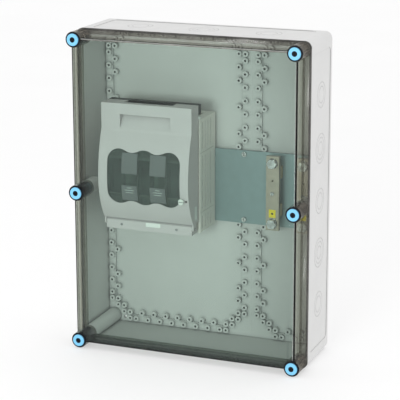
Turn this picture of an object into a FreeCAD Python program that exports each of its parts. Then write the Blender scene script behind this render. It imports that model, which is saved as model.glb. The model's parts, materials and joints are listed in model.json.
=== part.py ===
"""Fuse box panel: a wall-mounted insulated enclosure with a clear lid, a three-pole
fuse-switch-disconnector, and a neutral and an earth bar on a galvanised plate.

Units are millimetres. The origin is the centre of the back (wall) face: +X is to the
right, +Z is up, and the front of the box looks along -Y, so a depth d is the plane Y = -d.
"""
import FreeCAD, Part
import math
import os
import re

import Sketcher
from FreeCAD import Placement, Rotation, Vector

os.makedirs("parts", exist_ok=True)
doc = FreeCAD.newDocument("fuse_panel")

# ---------------------------------------------------------------- driving dimensions
SIZES = {
    # enclosure: depths are measured from the wall face towards the front
    "width": 450, "height": 600, "base_depth": 122, "joint_depth": 124, "lid_front": 170,
    "corner_radius": 13, "back_radius": 4, "wall": 4, "floor": 5,
    "flange": 4, "hood_width": 429, "hood_height": 577, "hood_wall": 3, "hood_radius": 4,
    "seal_inset": 0.5, "seal_width": 3.5,
    # lid locks, at the four corners and halfway up both sides
    "lock_x": 210, "lock_z": 285, "column_radius": 14.8, "pillar_radius": 14,
    "lock_radius": 12, "lock_gap": 0.1, "shoulder": 3, "neck_radius": 6, "stem_radius": 3,
    "head_radius": 11.2, "head_bore": 5, "head_depth": 2.9, "head_chamfer": 0.9, "boss_sunk": 0.4,
    "collar_radius": 14.4, "collar_depth": 1, "cross_long": 7.5, "cross_wide": 1.8, "cross_deep": 2,
    "slot_wide": 7, "slot_tall": 15.4, "catch_plate": 5, "catch_bore": 8.5, "catch_deep": 17,
    "lug_wide": 5.6, "lug_tall": 14, "lug_thick": 3, "lug_depth": 111, "mid_pillar_long": 30,
    # wall fixing holes through the floor
    "fixing_x": 187.5, "fixing_z": 287.5, "fixing_radius": 3.5,
    # floor frames: two modules side by side, each with a recess edged by screw bosses
    "left_module": -75, "right_module": 150, "module_split": 75,
    "frame_thick": 3, "frame_gap": 0.5, "split_gap": 0.1, "recess_z": 281, "recess_corner": 30,
    "left_recess_half": 131, "right_recess_half": 56, "row_offset": 6.5, "row_z": 287.5,
    "pitch": 25, "boss_top": 14, "boss_radius": 5.5, "boss_bore": 2.2, "boss_hole_deep": 8,
    # mounting plate
    "plate_half_width": 218, "plate_half_height": 70, "plate_thick": 2,
    "plate_screw_radius": 4.75, "plate_screw_head": 3, "screw_slot_half": 3, "slot_deep": 1.2,
    "plate_screw_left": -212.5, "plate_screw_mid": 62.5, "plate_screw_z": 62.5, "screw_gap": 0.4,
    # neutral and earth bars
    "neutral_x": 128, "earth_x": 187, "bar_wide": 25, "bar_tall": 140, "bar_back": 37,
    "bar_front": 45, "post_wide": 20, "post_tall": 22, "post_z": 36,
    "stud_radius": 5, "stud_z": 57, "stud_back": 30, "stud_proud": 2, "washer_radius": 10, "washer_thick": 2,
    "hexagon_radius": 9.8, "hexagon_tall": 6.4, "clamp_radius": 3.5, "clamp_head": 3,
    "clamp_thread": 2.5, "marker_wide": 13, "marker_tall": 15, "marker_z": -38, "marker_thick": 0.6,
    "pilot_radius": 1.8, "pilot_z": 24,
    # fuse-switch-disconnector: base
    "switch_x": -87.5, "pole_pitch": 57, "switch_half": 92, "switch_bottom": -75,
    "switch_top": 139, "switch_floor": 24, "switch_front": 92, "low_seam": -37, "high_seam": 75,
    "side_wall": 4, "skin": 3, "seam": 0.5, "barrier": 3, "barrier_front": 88,
    "front_plate_bottom": 109, "low_plate_top": -40,
    "cable_slot": 40, "cable_margin": 8, "barrier_margin": 4,
    "rib_wide": 2, "rib_deep": 1.5, "rib_first": 38, "rib_pitch": 14, "rib_margin": 6,
    "block_half": 85.4, "block_top": -54.3, "block_front": 118, "block_chamfer": 4,
    "hinge_depth": 112, "hinge_z": -63, "pin_radius": 2.5, "pin_deep": 10, "pin_gap": 0.05,
    "block_screw_x": 55, "block_screw_z": -66, "block_screw_radius": 2.4, "block_screw_head": 0.8,
    "strip_wide": 29, "strip_bottom": -66, "strip_tall": 8, "strip_thick": 0.6, "strip_x": -79,
    "mount_screw_x": 57, "mount_screw_low": 5, "mount_screw_high": 45, "mount_screw_radius": 5,
    "mount_screw_head": 4,
    "cover_screw_x": 87.4, "cover_screw_depth": 87.4, "cover_screw_radius": 4.4, "cover_screw_head": 5.5,
    # contacts
    "jaw_gap": 3.2, "jaw_thick": 2.5, "jaw_front": 98, "jaw_back": 50, "jaw_foot": 47, "spring_back": 60,
    "jaw_half_wide": 12, "high_jaw_low": 72, "high_jaw_top": 95, "high_tongue": 125,
    "low_jaw_top": -12, "low_jaw_low": -35, "low_tongue": -68, "jaw_post": 10,
    "high_stud_z": 114, "low_stud_z": -56, "leaf_thick": 1, "leaf_wide": 12, "leaf_long": 30,
    # switch cover: its front runs straight down to the brow, then bulges to the crown
    "cover_half": 89, "cover_rear": 93, "cover_top": 165, "cover_bottom": -53.5,
    "brow_depth": 127, "brow_z": 118, "crown_depth": 145, "crown_z": 25, "chin_depth": 119.5,
    "grip_half": 50, "grip_x": -89.5, "grip_top": 145, "grip_foot": 117, "grip_deep": 14,
    "notch_left": -137, "notch_wide": 96, "notch_deep": 20,
    "vent_depth": 101.5, "vent_wide": 11, "vent_low": -47, "vent_tall": 26, "insert_gap": 0.1,
    "liner_back": 79, "liner_front": 116, "liner_low": 147, "liner_thick": 2, "liner_gap": 0.3,
    "liner_rise": 0.4,
    "ear_radius": 7, "ear_bow": 7.28, "seal_hole_radius": 2.3, "seal_hole_x": -3.4,
    # window in the cover, with three lobes
    "lobe_x": -87, "lobe_pitch": 50, "lobe_rise": 3, "window_side": 72, "window_mid": 32,
    "window_half": 51.5, "window_corner": 22, "window_sink": 1.2, "window_thick": 3,
    "window_gap": 0.15, "plate_x": 28, "plate_wide": 31, "plate_high_low": 38.5, "plate_high_top": 76.5,
    "plate_low_low": -12.5, "plate_low_top": 16.5, "plate_sink": 0.5,
    # fuse links
    "fuse_half": 20, "fuse_low": -4, "fuse_top": 64, "fuse_front": 128, "fuse_back": 84,
    "fuse_chamfer": 7, "end_plate": 2.5, "blade_half": 3, "blade_front": 104, "blade_back": 80,
    "blade_low": -37.5, "blade_top": 97.5, "blade_chamfer": 4,
    "carrier_half": 15, "carrier_front": 132, "carrier_post": 138, "carrier_low": 8, "carrier_top": 52,
    # cover lock knob
    "knob_x": -12, "knob_z": -4.5, "knob_radius": 5.5, "knob_back": 142.8, "knob_front": 147,
    "knob_stem": 3, "knob_gap": 0.1, "knob_tail": 134, "knob_slot": 1.4,
}

sheet = doc.addObject("Spreadsheet::Sheet", "sheet")
for row, (alias, value) in enumerate(SIZES.items(), start=1):
    sheet.set(f"A{row}", alias)
    sheet.set(f"B{row}", str(value))
    sheet.setAlias(f"B{row}", alias)
doc.recompute()


def formula(text):
    """Turns a formula of bare size names into one that any object can read."""
    return re.sub(r"[a-z_]+", lambda word: "sheet." + word[0] if word[0] in SIZES else word[0], str(text))


def size(text):
    """Value of a formula of the sheet's names."""
    return float(sheet.evalExpression(formula(text)))


def bind(piece, prop, text):
    piece.setExpression(prop, formula(text))


def place(piece, low):
    for letter, text in zip("xyz", low):
        bind(piece, f"Placement.Base.{letter}", text)


SUBPARTS = []


def subpart(label, piece):
    """Names a finished piece and lists it as one of the object's nodes."""
    piece.Label = label
    SUBPARTS.append(piece)
    return piece


# ---------------------------------------------------------------- primitives and booleans
def box(low, sides):
    """Box from its lowest corner and its three sides."""
    piece = doc.addObject("Part::Box", "block")
    for prop, text in zip(("Length", "Width", "Height"), sides):
        bind(piece, prop, text)
    place(piece, low)
    return piece


def slab(x_low, x_high, back, front, z_low, z_high):
    """Box between two X planes, two depths and two heights."""
    sides = (f"({x_high})-({x_low})", f"({front})-({back})", f"({z_high})-({z_low})")
    return box((x_low, f"-({front})", z_low), sides)


TURNS = {
    "front": Rotation(Vector(1, 0, 0), 90),
    "right": Rotation(Vector(0, 1, 0), 90),
    "up": Rotation(),
}


def rod(radius, start, length, towards="front"):
    """Cylinder from the centre of its first end; start is (x, depth, z)."""
    piece = doc.addObject("Part::Cylinder", "rod")
    piece.Placement = Placement(Vector(), TURNS[towards])
    bind(piece, "Radius", radius)
    bind(piece, "Height", length)
    place(piece, (start[0], f"-({start[1]})", start[2]))
    return piece


def hexagon(start, length):
    """Hexagonal bolt head that points forwards."""
    piece = doc.addObject("Part::Prism", "hexagon")
    piece.Polygon = 6
    piece.Placement = Placement(Vector(), TURNS["front"])
    bind(piece, "Circumradius", "hexagon_radius")
    bind(piece, "Height", length)
    place(piece, (start[0], f"-({start[1]})", start[2]))
    return piece


def fuse(pieces):
    joined = doc.addObject("Part::MultiFuse", "joined")
    joined.Shapes = pieces
    return joined


def group(pieces):
    """Separate solids that share one node."""
    together = doc.addObject("Part::Compound", "together")
    together.Links = pieces
    return together


def cut(base, tools):
    result = doc.addObject("Part::Cut", "cut_piece")
    result.Base = base
    result.Tool = tools[0] if len(tools) == 1 else group(tools)
    return result


# ---------------------------------------------------------------- bodies and sketches
def new_body(name):
    return doc.addObject("PartDesign::Body", name)


def sketch_on(body, role, offset="0"):
    """Sketch on one of the body's origin planes, moved out along the plane's normal.

    On XZ_Plane the normal is -Y, so the offset is a depth; on YZ_Plane it is +X.
    """
    origin_plane = next(item for item in body.Origin.OriginFeatures if item.Role == role)
    sketch = body.newObject("Sketcher::SketchObject", "sketch")
    sketch.AttachmentSupport = (origin_plane, [""])
    sketch.MapMode = "FlatFace"
    bind(sketch, "AttachmentOffset.Base.z", offset)
    return sketch


def drive(sketch, kind, first, name, text):
    """Adds one driving constraint and binds it to a formula."""
    index = sketch.addConstraint(Sketcher.Constraint(kind, *first, size(text)))
    sketch.renameConstraint(index, name)
    bind(sketch, f"Constraints.{name}", text)


def arc_between(start, end, radius, turn):
    """Minor arc from start to end; turn is 1 for anticlockwise and -1 for clockwise."""
    chord = end - start
    middle = (start + end) * 0.5
    left = Vector(-chord.y, chord.x, 0).normalize()
    reach = math.sqrt(max(radius ** 2 - chord.Length ** 2 / 4, 0))
    centre = middle + left * (turn * reach)
    first, last = (start, end) if turn > 0 else (end, start)
    angles = [math.atan2(point.y - centre.y, point.x - centre.x) for point in (first, last)]
    return Part.ArcOfCircle(Part.Circle(centre, Vector(0, 0, 1), radius), *angles)


def outline(sketch, corners, arcs=None):
    """Closed outline through corners given as formulas.

    arcs maps an edge's number to (radius formula, turn); every other edge is straight.
    """
    arcs = arcs or {}
    points = [Vector(size(u), size(v), 0) for u, v in corners]
    first_edge = sketch.GeometryCount
    starts, ends = [], []
    for number, start in enumerate(points):
        end = points[(number + 1) % len(points)]
        if number in arcs:
            radius, turn = arcs[number]
            index = sketch.addGeometry(arc_between(start, end, size(radius), turn))
            starts.append((index, 1 if turn > 0 else 2))
            ends.append((index, 2 if turn > 0 else 1))
        else:
            index = sketch.addGeometry(Part.LineSegment(start, end))
            starts.append((index, 1))
            ends.append((index, 2))
    for number, end in enumerate(ends):
        following = starts[(number + 1) % len(starts)]
        sketch.addConstraint(Sketcher.Constraint("Coincident", *end, *following))
    for number, ((u, v), start) in enumerate(zip(corners, starts)):
        drive(sketch, "DistanceX", (-1, 1, *start), f"across_{first_edge + number}", u)
        drive(sketch, "DistanceY", (-1, 1, *start), f"along_{first_edge + number}", v)
    for number, (radius, _turn) in arcs.items():
        drive(sketch, "Radius", (starts[number][0],), f"radius_{first_edge + number}", radius)


def rectangle(sketch, u_low, u_high, v_low, v_high):
    outline(sketch, [(u_low, v_low), (u_high, v_low), (u_high, v_high), (u_low, v_high)])


def circle(sketch, u, v, radius):
    centre = Vector(size(u), size(v), 0)
    index = sketch.addGeometry(Part.Circle(centre, Vector(0, 0, 1), size(radius)))
    drive(sketch, "DistanceX", (-1, 1, index, 3), f"across_{index}", u)
    drive(sketch, "DistanceY", (-1, 1, index, 3), f"along_{index}", v)
    drive(sketch, "Radius", (index,), f"radius_{index}", radius)


def feature(body, kind, sketch, length, backwards=False):
    """Pad or Pocket of a given length; a Pocket runs against the sketch's normal."""
    item = body.newObject(f"PartDesign::{kind}", kind.lower())
    item.Profile = sketch
    bind(item, "Length", length)
    item.Reversed = backwards
    sketch.Visibility = False
    doc.recompute()
    if "Invalid" in item.State:
        raise RuntimeError(f"{body.Name}: {item.Name} failed: {item.getStatusString()}")
    return item


def pad(body, sketch, length):
    return feature(body, "Pad", sketch, length)


def pocket(body, sketch, length, forwards=False):
    """Removes material; it has to make the body smaller."""
    before = body.Shape.Volume
    item = feature(body, "Pocket", sketch, length, forwards)
    if "Invalid" in item.State or not item.Shape.Volume < before - 1e-3:
        raise RuntimeError(f"{body.Name}: the pocket {item.Name} cuts nothing")
    return item


def round_edges(body, picked, radius):
    """Fillets the edges of the body's tip that picked() accepts."""
    base = body.Tip
    names = [f"Edge{number}" for number, edge in enumerate(base.Shape.Edges, start=1) if picked(edge)]
    item = body.newObject("PartDesign::Fillet", "fillet")
    item.Base = (base, names)
    bind(item, "Radius", radius)
    doc.recompute()
    return item


def runs_deep(edge):
    """True for a straight edge along the depth."""
    first, last = edge.Vertexes[0].Point, edge.Vertexes[-1].Point
    return abs(first.y - last.y) > 1 and Vector(first.x - last.x, 0, first.z - last.z).Length < 1e-6


def lies_at(depth):
    """Picks the edges that lie in the plane at a depth."""
    return lambda edge: all(abs(vertex.Y + size(depth)) < 1e-6 for vertex in edge.Vertexes)


# ---------------------------------------------------------------- enclosure base
LOCKS = {
    "top_left": ("-lock_x", "lock_z"), "top_right": ("lock_x", "lock_z"),
    "mid_left": ("-lock_x", "0"), "mid_right": ("lock_x", "0"),
    "bottom_left": ("-lock_x", "-lock_z"), "bottom_right": ("lock_x", "-lock_z"),
}
FIXINGS = [(f"{x}fixing_x", f"{z}fixing_z") for x in ("-", "") for z in ("-", "")]


def make_base():
    """Deep tray with a pillar behind every lid lock, and wall fixing holes in its floor."""
    body = new_body("base_body")
    shell = sketch_on(body, "XZ_Plane")
    rectangle(shell, "-width/2", "width/2", "-height/2", "height/2")
    pad(body, shell, "base_depth")
    round_edges(body, runs_deep, "corner_radius")
    round_edges(body, lies_at("0"), "back_radius")

    hollow = sketch_on(body, "XZ_Plane", "base_depth")
    half_x, half_z = "(width/2-wall)", "(height/2-wall)"
    rectangle(hollow, f"-{half_x}", half_x, f"-{half_z}", half_z)
    pocket(body, hollow, "base_depth-floor")

    corners = [place_of for name, place_of in LOCKS.items() if not name.startswith("mid")]
    pillars = sketch_on(body, "XZ_Plane", "floor")
    for x, z in corners:
        circle(pillars, x, z, "pillar_radius")
    pad(body, pillars, "base_depth-floor")

    middles = [place_of for name, place_of in LOCKS.items() if name.startswith("mid")]
    domes = sketch_on(body, "XZ_Plane", "base_depth-mid_pillar_long")
    for x, z in middles:
        circle(domes, x, z, "pillar_radius")
    pad(body, domes, "mid_pillar_long")

    slots = sketch_on(body, "XZ_Plane", "base_depth")
    for x, z in LOCKS.values():
        rectangle(slots, f"{x}-slot_wide/2", f"{x}+slot_wide/2", f"{z}-slot_tall/2", f"{z}+slot_tall/2")
    pocket(body, slots, "catch_plate+1")

    bores = sketch_on(body, "XZ_Plane", "base_depth-catch_plate")
    for x, z in LOCKS.values():
        circle(bores, x, z, "catch_bore")
    pocket(body, bores, "catch_deep")

    holes = sketch_on(body, "XZ_Plane", "floor+1")
    for x, z in FIXINGS:
        circle(holes, x, z, "fixing_radius")
    pocket(body, holes, "floor+2")
    return body


def make_seal():
    """Flat ring that fills the joint between the base's rim and the lid's flange."""
    body = new_body("seal_body")
    outside = sketch_on(body, "XZ_Plane", "base_depth")
    half_x, half_z = "(width/2-seal_inset)", "(height/2-seal_inset)"
    rectangle(outside, f"-{half_x}", half_x, f"-{half_z}", half_z)
    pad(body, outside, "joint_depth-base_depth")
    round_edges(body, runs_deep, "corner_radius-seal_inset")
    inside = sketch_on(body, "XZ_Plane", "joint_depth")
    half_x, half_z = f"({half_x}-seal_width)", f"({half_z}-seal_width)"
    rectangle(inside, f"-{half_x}", half_x, f"-{half_z}", half_z)
    pocket(body, inside, "joint_depth-base_depth+1")
    return body


# ---------------------------------------------------------------- floor frames with bosses
def boss_places(module_x, recess_half, half_rows, extra_row):
    """Centres of the bosses round one module's recess, in its own four-fold symmetry.

    The outer columns and rows stand on the frame, half a pitch off the module's axes;
    the inner ones stand in the recess, on whole pitches; the corners run diagonally.
    """
    pitch = size("pitch")
    outer_x = size(recess_half) + size("row_offset")
    inner_x = outer_x - pitch / 2
    outer_z = size("row_z")
    inner_z = outer_z - pitch / 2
    places = [(outer_x, pitch * (step + 0.5)) for step in range(10)]
    places += [(outer_x, pitch * 10)]
    places += [(inner_x, pitch * step) for step in (3, 4, 6, 8, 9, 10)]
    places += [(pitch * (step + 0.5), outer_z) for step in range(half_rows)]
    places += [(extra_row, outer_z)]
    places += [(pitch * step, inner_z) for step in range(1, half_rows)]
    for step in (1, 2):
        places += [(outer_x - step * pitch / 2, outer_z - (3 - step) * pitch / 2)]
        places += [(outer_x - (step + 1) * pitch / 2, outer_z - (3 - step) * pitch / 2)]
    signs = [(side, end) for side in (-1, 1) for end in (-1, 1)]
    mirrored = {(round(side * x, 3), round(end * z, 3)) for x, z in places for side, end in signs}
    mirrored.add((0.0, inner_z))
    mirrored.add((0.0, -inner_z))
    return [(module_x + x, z) for x, z in sorted(mirrored)]


def make_frame(module, recess_half, x_low, x_high, half_rows, extra_row):
    """Raised frame round one module's chamfered recess, with its screw bosses."""
    module_x = size(module)
    floor, thick = size("floor"), size("frame_thick")
    half_z = size("height/2-wall-frame_gap")
    frame = Part.makeBox(x_high - x_low, thick, 2 * half_z, Vector(x_low, -floor - thick, -half_z))
    half_x, recess_z, corner = size(recess_half), size("recess_z"), size("recess_corner")
    quarter = [(half_x, recess_z - corner), (half_x - corner, recess_z)]
    ring = quarter + [(-x, z) for x, z in reversed(quarter)]
    ring += [(-x, -z) for x, z in quarter] + [(x, -z) for x, z in reversed(quarter)]
    corners = [Vector(module_x + x, -floor, z) for x, z in ring]
    recess = Part.Face(Part.makePolygon(corners + corners[:1])).extrude(Vector(0, -thick, 0))
    frame = frame.cut(recess)

    def upright(radius, start, length, x, z):
        """Cylinder that points forwards from the depth start."""
        base = Vector(x, -size(start), z)
        return Part.makeCylinder(size(radius), size(length), base, Vector(0, -1, 0))

    centres = boss_places(module_x, recess_half, half_rows, extra_row)
    centres = [(x, z) for x, z in centres if x_low < x < x_high]
    bosses = [upright("boss_radius", "floor", "boss_top-floor", x, z) for x, z in centres]
    holes = [upright("boss_bore", "boss_top-boss_hole_deep", "boss_hole_deep", x, z) for x, z in centres]
    for radius, places in (("pillar_radius+frame_gap", LOCKS.values()), ("fixing_radius", FIXINGS)):
        holes += [upright(radius, "0", "boss_top", size(x), size(z)) for x, z in places]
    shape = frame.multiFuse(bosses).cut(Part.makeCompound(holes)).removeSplitter()
    piece = doc.addObject("Part::Feature", "frame_piece")
    piece.Shape = shape
    piece.Placement = Placement()
    return piece


# ---------------------------------------------------------------- lid and its locks
def make_hood():
    """Clear hood with a flange on the seal and six hollow columns for the locks."""
    body = new_body("hood_body")
    flange = sketch_on(body, "XZ_Plane", "joint_depth")
    rectangle(flange, "-width/2", "width/2", "-height/2", "height/2")
    pad(body, flange, "flange")
    round_edges(body, runs_deep, "corner_radius")

    hood = sketch_on(body, "XZ_Plane", "joint_depth")
    rectangle(hood, "-hood_width/2", "hood_width/2", "-hood_height/2", "hood_height/2")
    pad(body, hood, "lid_front-joint_depth")
    round_edges(body, lies_at("lid_front"), "hood_radius")

    hollow = sketch_on(body, "XZ_Plane", "joint_depth")
    half_x, half_z = "(hood_width/2-hood_wall)", "(hood_height/2-hood_wall)"
    rectangle(hollow, f"-{half_x}", half_x, f"-{half_z}", half_z)
    pocket(body, hollow, "lid_front-hood_wall-joint_depth", forwards=True)

    columns = sketch_on(body, "XZ_Plane", "joint_depth")
    for x, z in LOCKS.values():
        circle(columns, x, z, "column_radius")
    pad(body, columns, "lid_front-joint_depth")

    bores = sketch_on(body, "XZ_Plane", "lid_front")
    for x, z in LOCKS.values():
        circle(bores, x, z, "lock_radius+lock_gap")
    pocket(body, bores, "lid_front-joint_depth-shoulder")

    necks = sketch_on(body, "XZ_Plane", "lid_front")
    for x, z in LOCKS.values():
        circle(necks, x, z, "neck_radius+lock_gap")
    pocket(body, necks, "lid_front-joint_depth+1")
    return body


def make_lock_head(x, z):
    """Blue ring: a turned section with a chamfered front edge."""
    body = new_body("head_body")
    section = sketch_on(body, "XY_Plane")
    outline(section, [
        ("head_bore", "0"), ("head_radius", "0"), ("head_radius", "head_depth-head_chamfer"),
        ("head_radius-head_chamfer", "head_depth"), ("head_bore", "head_depth"),
    ])
    turned = body.newObject("PartDesign::Revolution", "revolution")
    turned.Profile = section
    turned.ReferenceAxis = (section, ["V_Axis"])
    turned.Angle = 360
    section.Visibility = False
    body.Placement = Placement(Vector(), Rotation(Vector(1, 0, 0), 180))
    place(body, (x, "-(lid_front+lock_gap+collar_depth)", z))
    return body


def make_lock_body(x, z):
    """Black lock: collar, boss with a driver cross, barrel, neck, stem and bayonet lug."""
    collar_back = "lid_front+lock_gap"
    barrel_back = "joint_depth+shoulder+lock_gap"
    boss_front = f"{collar_back}+collar_depth+head_depth-boss_sunk"
    pieces = [
        rod("collar_radius", (x, collar_back, z), "collar_depth"),
        rod("head_bore", (x, collar_back, z), f"{boss_front}-({collar_back})"),
        rod("lock_radius", (x, barrel_back, z), f"{collar_back}-({barrel_back})"),
        rod("neck_radius", (x, "joint_depth", z), f"{barrel_back}-joint_depth"),
        rod("stem_radius", (x, "lug_depth", z), "joint_depth-lug_depth"),
        slab(f"{x}-lug_wide/2", f"{x}+lug_wide/2", "lug_depth-lug_thick", "lug_depth",
             f"{z}-lug_tall/2", f"{z}+lug_tall/2"),
    ]
    cross_back = f"{boss_front}-cross_deep"
    cross = [
        slab(f"{x}-{a}/2", f"{x}+{a}/2", cross_back, f"{boss_front}+1", f"{z}-{b}/2", f"{z}+{b}/2")
        for a, b in (("cross_long", "cross_wide"), ("cross_wide", "cross_long"))
    ]
    return cut(fuse(pieces), cross)


# ---------------------------------------------------------------- plate and bars
PLATE_SCREWS = [
    (x, f"{side}plate_screw_z")
    for x in ("plate_screw_left", "plate_screw_mid", "-plate_screw_left")
    for side in ("-", "")
]


def make_plate():
    sheet_metal = slab("-plate_half_width", "plate_half_width", "boss_top", "boss_top+plate_thick",
                       "-plate_half_height", "plate_half_height")
    holes = [rod("boss_bore+screw_gap", (x, "boss_top-1", z), "plate_thick+2") for x, z in PLATE_SCREWS]
    return cut(sheet_metal, holes)


def make_plate_screws():
    """Pan-head screws from the plate into the bosses behind it."""
    front = "boss_top+plate_thick"
    screws = []
    for x, z in PLATE_SCREWS:
        head = rod("plate_screw_radius", (x, front, z), "plate_screw_head")
        shank = rod("boss_bore", (x, "boss_top-boss_hole_deep", z), "boss_hole_deep+plate_thick")
        recess = slab(f"{x}-cross_wide/2", f"{x}+cross_wide/2", f"{front}+plate_screw_head-slot_deep",
                      f"{front}+plate_screw_head+1", f"{z}-screw_slot_half", f"{z}+screw_slot_half")
        screws.append(cut(fuse([head, shank]), [recess]))
    return group(screws)


def make_bar(x):
    """Drilled connection bar."""
    bar = slab(f"{x}-bar_wide/2", f"{x}+bar_wide/2", "bar_back", "bar_front", "-bar_tall/2", "bar_tall/2")
    drilled = (("stud_radius+screw_gap/2", "-stud_z"), ("stud_radius+screw_gap/2", "stud_z"),
               ("clamp_thread", "0"), ("pilot_radius", "pilot_z"))
    return cut(bar, [rod(radius, (x, "bar_back-1", z), "bar_front-bar_back+2") for radius, z in drilled])


def make_bar_supports(x):
    """Two moulded posts between the plate and a bar."""
    front_of_plate = "boss_top+plate_thick"
    return group([
        slab(f"{x}-post_wide/2", f"{x}+post_wide/2", front_of_plate, "bar_back",
             f"{z}-post_tall/2", f"{z}+post_tall/2")
        for z in ("-post_z", "post_z")
    ])


def make_bar_bolts(x):
    bolts = []
    for z in ("-stud_z", "stud_z"):
        head = hexagon((x, "bar_front+washer_thick", z), "hexagon_tall")
        thread = rod("stud_radius", (x, "stud_back", z), "bar_front+washer_thick+stud_proud-stud_back")
        bolts.append(fuse([head, thread]))
    return group(bolts)


def make_bar_washers(x):
    washers = []
    for z in ("-stud_z", "stud_z"):
        disc = rod("washer_radius", (x, "bar_front", z), "washer_thick")
        washers.append(cut(disc, [rod("stud_radius+screw_gap/2", (x, "bar_front-1", z), "washer_thick+2")]))
    return group(washers)


def make_clamp_screw(x):
    head = rod("clamp_radius", (x, "bar_front", "0"), "clamp_head")
    thread = rod("clamp_thread", (x, "bar_back", "0"), "bar_front-bar_back+1")
    slot = slab(f"{x}-cross_wide/3", f"{x}+cross_wide/3", "bar_front+clamp_head-slot_deep",
                "bar_front+clamp_head+1", "-clamp_radius", "clamp_radius")
    return cut(fuse([head, thread]), [slot])


def make_marker(x):
    return slab(f"{x}-marker_wide/2", f"{x}+marker_wide/2", "bar_front", "bar_front+marker_thick",
                "marker_z-marker_tall/2", "marker_z+marker_tall/2")


# ---------------------------------------------------------------- switch base and contacts
POLES = [f"switch_x+({number})*pole_pitch" for number in (-1, 0, 1)]
LEFT, RIGHT = "(switch_x-switch_half)", "(switch_x+switch_half)"
ENDS = {
    "top": {"low": "high_jaw_low", "high": "high_jaw_top", "tongue": ("high_jaw_low", "high_tongue"),
            "stud": "high_stud_z"},
    "bottom": {"low": "low_jaw_low", "high": "low_jaw_top", "tongue": ("low_tongue", "low_jaw_top"),
               "stud": "low_stud_z"},
}


MOUNT_SCREWS = [
    (f"switch_x{side}mount_screw_x", z)
    for side in ("-", "+")
    for z in ("mount_screw_low", "mount_screw_high")
]


def make_switch_base():
    """Moulded base: floor, two ribbed side walls, barriers between poles and contact posts."""
    on_plate = "boss_top+plate_thick"
    pieces = [slab(LEFT, RIGHT, on_plate, "switch_floor", "switch_bottom", "switch_top")]
    for low, high in ((LEFT, f"{LEFT}+side_wall"), (f"{RIGHT}-side_wall", RIGHT)):
        pieces.append(slab(low, high, "switch_floor", "switch_front", "low_seam", "high_seam"))
    for middle in ("switch_x-pole_pitch/2", "switch_x+pole_pitch/2"):
        pieces.append(slab(f"{middle}-barrier/2", f"{middle}+barrier/2", "switch_floor", "barrier_front",
                           "switch_bottom+barrier_margin", "switch_top-barrier_margin"))
    for pole in POLES:
        for end in ENDS.values():
            pieces.append(slab(f"{pole}-jaw_post", f"{pole}+jaw_post", "switch_floor", "jaw_foot",
                               end["low"], end["high"]))
    grooves = []
    for step in range(4):
        groove = f"rib_first+{step}*rib_pitch"
        for low, high in ((f"{LEFT}-1", f"{LEFT}+rib_deep"), (f"{RIGHT}-rib_deep", f"{RIGHT}+1")):
            grooves.append(slab(low, high, groove, f"{groove}+rib_wide",
                                "low_seam+rib_margin", "high_seam-rib_margin"))
    screw_holes = [rod("stem_radius+screw_gap/2", (x, "boss_top", z), "switch_floor-boss_top+1")
                   for x, z in MOUNT_SCREWS]
    return cut(fuse(pieces), grooves + screw_holes)


def make_mount_screws():
    """Screws that hold the switch base on the mounting plate."""
    screws = []
    for x, z in MOUNT_SCREWS:
        head = rod("mount_screw_radius", (x, "switch_floor", z), "mount_screw_head")
        shank = rod("stem_radius", (x, "boss_top+plate_thick", z), "switch_floor-boss_top-plate_thick+1")
        screws.append(fuse([head, shank]))
    return group(screws)


def make_terminal_cover(z_low, z_high, outer_low, outer_high, plate_low, plate_high):
    """Touch guard over three terminals: two sides, an end wall with cable slots, a front plate."""
    sides = [
        slab(LEFT, f"{LEFT}+skin", "switch_floor", "switch_front", z_low, z_high),
        slab(f"{RIGHT}-skin", RIGHT, "switch_floor", "switch_front", z_low, z_high),
        slab(LEFT, RIGHT, "switch_floor", "switch_front", outer_low, outer_high),
        slab(LEFT, RIGHT, "switch_front-skin", "switch_front", plate_low, plate_high),
    ]
    slots = [slab(f"{pole}-cable_slot/2", f"{pole}+cable_slot/2", "switch_floor+cable_margin",
                  "switch_front-skin-cable_margin", f"{outer_low}-1", f"{outer_high}+1") for pole in POLES]
    return cut(fuse(sides), slots)


def make_cover_screws():
    """Short screws through the upper edge of the top terminal cover."""
    return group([
        rod("cover_screw_radius", (f"switch_x{side}cover_screw_x", "cover_screw_depth", "switch_top"),
            "cover_screw_head", "up")
        for side in ("-", "+")
    ])


def make_hinge_block():
    """Front block under the cover that holds the hinge pins and the marking strip."""
    low, high = "(switch_x-block_half)", "(switch_x+block_half)"
    body = new_body("block_body")
    section = sketch_on(body, "YZ_Plane", low)
    outline(section, [
        ("-switch_front", "switch_bottom"), ("-switch_front", "block_top"),
        ("-block_front+block_chamfer", "block_top"), ("-block_front", "block_top-block_chamfer"),
        ("-block_front", "switch_bottom"),
    ])
    pad(body, section, "2*block_half")
    for plane, forwards in ((low, True), (high, False)):
        bore = sketch_on(body, "YZ_Plane", plane)
        circle(bore, "-hinge_depth", "hinge_z", "pin_radius")
        pocket(body, bore, "pin_deep", forwards)
    return body


def make_hinge_pins():
    """Two pins, pressed into the block, on the cover's hinge axis."""
    length = "cover_half+1-block_half+pin_deep"
    return group([
        rod("pin_radius", (start, "hinge_depth", "hinge_z"), length, "right")
        for start in ("switch_x-cover_half-1", "switch_x+block_half-pin_deep")
    ])


def make_block_screws():
    return group([
        rod("block_screw_radius", (f"switch_x{side}block_screw_x", "block_front", "block_screw_z"),
            "block_screw_head")
        for side in ("-", "+")
    ])


def make_marking_strip():
    return slab("strip_x-strip_wide/2", "strip_x+strip_wide/2", "block_front", "block_front+strip_thick",
                "strip_bottom", "strip_bottom+strip_tall")


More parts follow.
